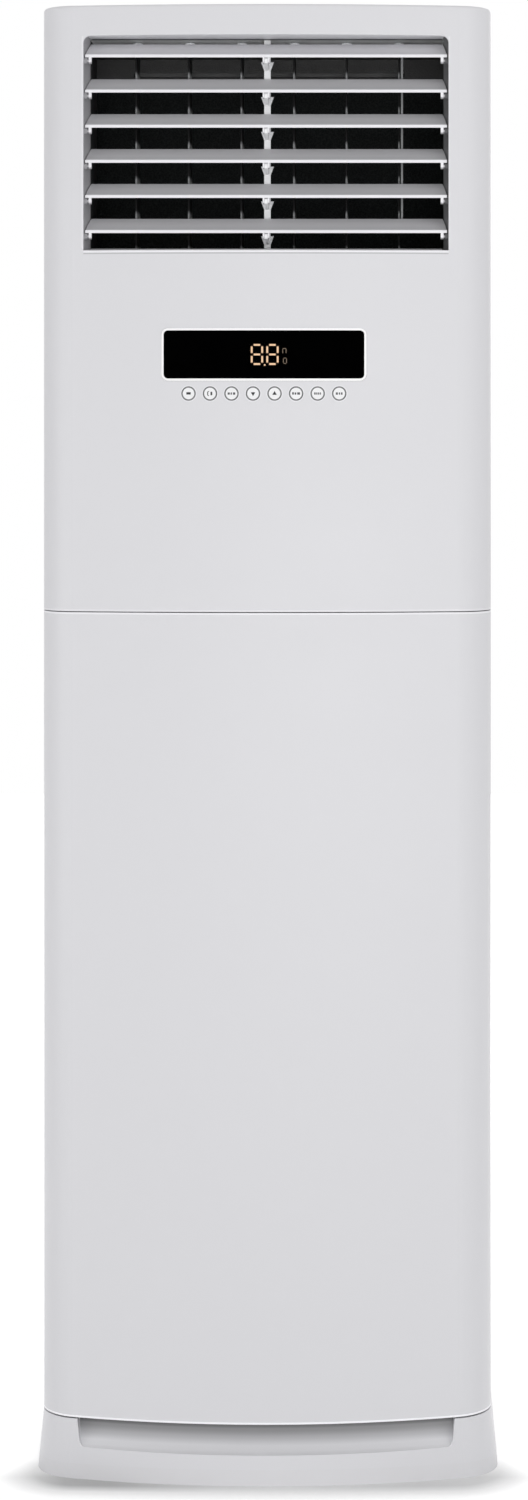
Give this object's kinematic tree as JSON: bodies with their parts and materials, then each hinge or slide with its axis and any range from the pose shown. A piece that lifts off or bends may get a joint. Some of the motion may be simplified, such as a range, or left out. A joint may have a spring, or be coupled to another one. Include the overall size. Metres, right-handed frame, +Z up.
{
  "type": "floor standing air conditioner",
  "caption": "Tall white cabinet air conditioner with tilting louvres, swinging vanes, a display, push buttons, side intakes and a fan inside.",
  "frame": {"origin": "on the floor under the middle of the base's bounding box", "axes": "+Z up, -Y towards the front with the louvres and display, +X to the right seen from the front"},
  "size_m": [0.5918, 0.386, 1.871],
  "materials": {
    "white_shell": "satin moulded white",
    "painted_sheet": "white powder coat",
    "white_louvre": "semi-gloss white",
    "grey_vane": "light grey",
    "button_white": "white caps with a grey ring",
    "smoked_window": "polished smoked window",
    "digit_amber": "lit segments",
    "dark_plastic": "black moulding",
    "galvanised_sheet": "zinc-coated sheet",
    "fin_aluminium": "stacked thin fins",
    "copper": "drawn copper tube",
    "steel": "plated steel",
    "motor_steel": "painted motor shell",
    "black_rubber": "black rubber",
    "board_green": "circuit board",
    "filter_grey": "fine mesh in a frame",
    "grey_plastic": "grey moulding"
  },
  "bodies": {
    "cabinet": {"air_duct": "dark_plastic", "base_pan": "galvanised_sheet", "base_skirt": "white_shell", "cable_grommet": "black_rubber", "casing_screws": "steel", "centre_post": "white_louvre", "coil_end_plates": "galvanised_sheet", "coil_fins": "fin_aluminium", "coil_tubes": "copper", "control_board": "board_green", "cross_brace": "galvanised_sheet", "display_bezel": "white_shell", "display_digits": "digit_amber", "display_window": "smoked_window", "drain_pan": "grey_plastic", "electrical_box": "grey_plastic", "electrical_box_lid": "galvanised_sheet", "fan_motor": "motor_steel", "fan_scroll": "grey_plastic", "left_intake_grille": "white_shell", "left_side_panel": "painted_sheet", "lower_front_panel": "white_shell", "motor_bracket": "galvanised_sheet", "outlet_frame": "white_shell", "partition_deck": "galvanised_sheet", "pipe_collar": "black_rubber", "rear_panel": "galvanised_sheet", "refrigerant_pipes": "copper", "right_intake_grille": "white_shell", "right_side_panel": "painted_sheet", "swing_motor": "dark_plastic", "terminal_block": "dark_plastic", "top_cover": "painted_sheet", "upper_front_panel": "white_shell"},
    "louvre_1": {"louvre_1": "white_louvre"},
    "louvre_2": {"louvre_2": "white_louvre"},
    "louvre_3": {"louvre_3": "white_louvre"},
    "louvre_4": {"louvre_4": "white_louvre"},
    "louvre_5": {"louvre_5": "white_louvre"},
    "louvre_6": {"louvre_6": "white_louvre"},
    "louvre_link": {"louvre_link": "grey_vane"},
    "vane_1": {"vane_1": "grey_vane"},
    "vane_2": {"vane_2": "grey_vane"},
    "vane_3": {"vane_3": "grey_vane"},
    "vane_4": {"vane_4": "grey_vane"},
    "vane_5": {"vane_5": "grey_vane"},
    "vane_6": {"vane_6": "grey_vane"},
    "vane_link": {"vane_link": "dark_plastic"},
    "fan": {"fan_wheel": "grey_plastic", "fan_shaft": "steel"},
    "left_filter": {"left_air_filter": "filter_grey"},
    "right_filter": {"right_air_filter": "filter_grey"},
    "button_1": {"button_1": "button_white"},
    "button_2": {"button_2": "button_white"},
    "button_3": {"button_3": "button_white"},
    "button_4": {"button_4": "button_white"},
    "button_5": {"button_5": "button_white"},
    "button_6": {"button_6": "button_white"},
    "button_7": {"button_7": "button_white"},
    "button_8": {"button_8": "button_white"}
  },
  "joints": [
    {"name": "louvre_1_tilt", "type": "hinge", "parent": "cabinet", "child": "louvre_1", "pos_m": [0, -0.163, 1.8017], "axis": [1, 0, 0], "range_deg": [-33, 12]},
    {"name": "louvre_2_tilt", "type": "hinge", "parent": "cabinet", "child": "louvre_2", "pos_m": [0, -0.163, 1.7571], "axis": [1, 0, 0], "range_deg": [-33, 12]},
    {"name": "louvre_3_tilt", "type": "hinge", "parent": "cabinet", "child": "louvre_3", "pos_m": [0, -0.163, 1.7125], "axis": [1, 0, 0], "range_deg": [-33, 12]},
    {"name": "louvre_4_tilt", "type": "hinge", "parent": "cabinet", "child": "louvre_4", "pos_m": [0, -0.163, 1.6679], "axis": [1, 0, 0], "range_deg": [-33, 12]},
    {"name": "louvre_5_tilt", "type": "hinge", "parent": "cabinet", "child": "louvre_5", "pos_m": [0, -0.163, 1.6233], "axis": [1, 0, 0], "range_deg": [-33, 12]},
    {"name": "louvre_6_tilt", "type": "hinge", "parent": "cabinet", "child": "louvre_6", "pos_m": [0, -0.163, 1.5787], "axis": [1, 0, 0], "range_deg": [-33, 12]},
    {"name": "louvre_link_pivot", "type": "hinge", "parent": "louvre_1", "child": "louvre_link", "pos_m": [0.171, -0.127, 1.8137], "axis": [1, 0, 0], "range_deg": [-12, 33]},
    {"name": "vane_1_swing", "type": "hinge", "parent": "cabinet", "child": "vane_1", "pos_m": [-0.1688, -0.095, 1.6962], "axis": [0, 0, 1], "range_deg": [-30, 30]},
    {"name": "vane_2_swing", "type": "hinge", "parent": "cabinet", "child": "vane_2", "pos_m": [-0.10128, -0.095, 1.6962], "axis": [0, 0, 1], "range_deg": [-30, 30]},
    {"name": "vane_3_swing", "type": "hinge", "parent": "cabinet", "child": "vane_3", "pos_m": [-0.03376, -0.095, 1.6962], "axis": [0, 0, 1], "range_deg": [-30, 30]},
    {"name": "vane_4_swing", "type": "hinge", "parent": "cabinet", "child": "vane_4", "pos_m": [0.03376, -0.095, 1.6962], "axis": [0, 0, 1], "range_deg": [-30, 30]},
    {"name": "vane_5_swing", "type": "hinge", "parent": "cabinet", "child": "vane_5", "pos_m": [0.10128, -0.095, 1.6962], "axis": [0, 0, 1], "range_deg": [-30, 30]},
    {"name": "vane_6_swing", "type": "hinge", "parent": "cabinet", "child": "vane_6", "pos_m": [0.1688, -0.095, 1.6962], "axis": [0, 0, 1], "range_deg": [-30, 30]},
    {"name": "vane_link_pivot", "type": "hinge", "parent": "vane_6", "child": "vane_link", "pos_m": [0.1688, -0.075, 1.792], "axis": [0, 0, 1], "range_deg": [-30, 30]},
    {"name": "fan_spin", "type": "hinge", "parent": "cabinet", "child": "fan", "pos_m": [0, -0.016, 0.395], "axis": [1, 0, 0], "continuous": true},
    {"name": "left_filter_slide", "type": "slide", "parent": "cabinet", "child": "left_filter", "axis": [0, 1, 0], "range_m": [0, 0.25]},
    {"name": "right_filter_slide", "type": "slide", "parent": "cabinet", "child": "right_filter", "axis": [0, 1, 0], "range_m": [0, 0.25]},
    {"name": "button_1_press", "type": "slide", "parent": "cabinet", "child": "button_1", "axis": [0, 1, 0], "range_m": [0, 0.0008], "stiffness_N_per_m": 800},
    {"name": "button_2_press", "type": "slide", "parent": "cabinet", "child": "button_2", "axis": [0, 1, 0], "range_m": [0, 0.0008], "stiffness_N_per_m": 800},
    {"name": "button_3_press", "type": "slide", "parent": "cabinet", "child": "button_3", "axis": [0, 1, 0], "range_m": [0, 0.0008], "stiffness_N_per_m": 800},
    {"name": "button_4_press", "type": "slide", "parent": "cabinet", "child": "button_4", "axis": [0, 1, 0], "range_m": [0, 0.0008], "stiffness_N_per_m": 800},
    {"name": "button_5_press", "type": "slide", "parent": "cabinet", "child": "button_5", "axis": [0, 1, 0], "range_m": [0, 0.0008], "stiffness_N_per_m": 800},
    {"name": "button_6_press", "type": "slide", "parent": "cabinet", "child": "button_6", "axis": [0, 1, 0], "range_m": [0, 0.0008], "stiffness_N_per_m": 800},
    {"name": "button_7_press", "type": "slide", "parent": "cabinet", "child": "button_7", "axis": [0, 1, 0], "range_m": [0, 0.0008], "stiffness_N_per_m": 800},
    {"name": "button_8_press", "type": "slide", "parent": "cabinet", "child": "button_8", "axis": [0, 1, 0], "range_m": [0, 0.0008], "stiffness_N_per_m": 800}
  ],
  "couplings": [
    {"joint": "louvre_2_tilt", "follows": "louvre_1_tilt", "ratio": 1},
    {"joint": "louvre_3_tilt", "follows": "louvre_1_tilt", "ratio": 1},
    {"joint": "louvre_4_tilt", "follows": "louvre_1_tilt", "ratio": 1},
    {"joint": "louvre_5_tilt", "follows": "louvre_1_tilt", "ratio": 1},
    {"joint": "louvre_6_tilt", "follows": "louvre_1_tilt", "ratio": 1},
    {"joint": "louvre_link_pivot", "follows": "louvre_1_tilt", "ratio": -1},
    {"joint": "vane_1_swing", "follows": "vane_6_swing", "ratio": 1},
    {"joint": "vane_2_swing", "follows": "vane_6_swing", "ratio": 1},
    {"joint": "vane_3_swing", "follows": "vane_6_swing", "ratio": 1},
    {"joint": "vane_4_swing", "follows": "vane_6_swing", "ratio": 1},
    {"joint": "vane_5_swing", "follows": "vane_6_swing", "ratio": 1},
    {"joint": "vane_link_pivot", "follows": "vane_6_swing", "ratio": -1}
  ]
}
